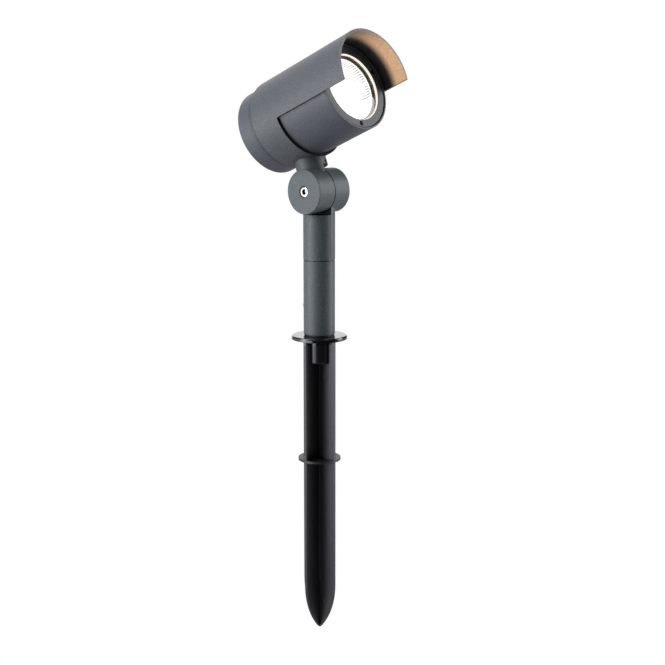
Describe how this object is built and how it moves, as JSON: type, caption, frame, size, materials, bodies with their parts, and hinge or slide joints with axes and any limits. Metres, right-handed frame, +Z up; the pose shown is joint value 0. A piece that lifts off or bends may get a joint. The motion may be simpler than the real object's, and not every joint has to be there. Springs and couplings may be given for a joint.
{
  "type": "garden spike spotlight",
  "caption": "Garden spotlight with a hooded round head that tilts on a screw knuckle, a swivelling tube stem and a finned ground spike.",
  "frame": {"origin": "centre of the underside of the ground flange, level with the soil", "axes": "+Z up along the stem, +X the way the lamp aims, the tilting knuckle turns about Y with its screw head on -Y"},
  "size_m": [0.1336, 0.0784, 0.5188],
  "materials": {
    "powder_coat": "fine textured powder coat over cast aluminium",
    "barrel_coat": "fine textured powder coat over cast aluminium",
    "spike_plastic": "moulded, glossy",
    "black_rubber": "matt",
    "clear_silicone": "translucent",
    "glass": "clear toughened",
    "reflector_metal": "bright vacuum coated",
    "collar_plastic": "matt dark brown",
    "light_source": "phosphor",
    "board_metal": "satin",
    "pad_grey": "matt",
    "white_plastic": "matt",
    "sink_metal": "extruded",
    "driver_plastic": "potted, matt",
    "terminal_plastic": "moulded",
    "bright_screw": "polished",
    "steel": "plain",
    "black_screw": "black oxide",
    "brass": "turned",
    "nylon": "matt"
  },
  "bodies": {
    "base": {"spike": "spike_plastic", "spike_stud": "steel", "base_washer": "black_rubber", "stem_plug": "brass", "lower_tube": "powder_coat", "cable_grommet": "black_rubber"},
    "stem": {"stem_knuckle": "powder_coat", "swivel_spigot": "brass", "swivel_clip": "steel", "swivel_seal": "black_rubber", "thrust_washer": "nylon", "pivot_insert": "brass", "friction_washer": "black_rubber", "pivot_screw": "bright_screw", "spring_washer": "steel"},
    "head": {"neck_knuckle": "powder_coat", "neck_set_screw": "black_screw", "neck_gasket": "black_rubber", "neck_screws": "steel", "barrel": "barrel_coat", "hood_sleeve": "powder_coat", "bezel_ring": "powder_coat", "bezel_screws": "black_screw", "front_glass": "glass", "glass_gasket": "clear_silicone", "reflector_collar": "collar_plastic", "reflector": "reflector_metal", "heat_sink": "sink_metal", "heat_sink_screws": "steel", "thermal_pad": "pad_grey", "led_board": "board_metal", "led_emitter": "light_source", "led_holder": "white_plastic", "led_holder_screws": "steel", "driver": "driver_plastic", "driver_screws": "steel", "terminal_block": "terminal_plastic", "rear_cap": "powder_coat", "rear_cap_gasket": "black_rubber", "rear_cap_screws": "black_screw"}
  },
  "joints": [
    {"name": "stem_swivel", "type": "hinge", "parent": "base", "child": "stem", "pos_m": [0, 0, 0.068], "axis": [0, 0, 1], "range_deg": [-170, 170]},
    {"name": "head_tilt", "type": "hinge", "parent": "stem", "child": "head", "pos_m": [0, 0, 0.126], "axis": [0, -1, 0], "range_deg": [-112.5, 67.5]}
  ]
}
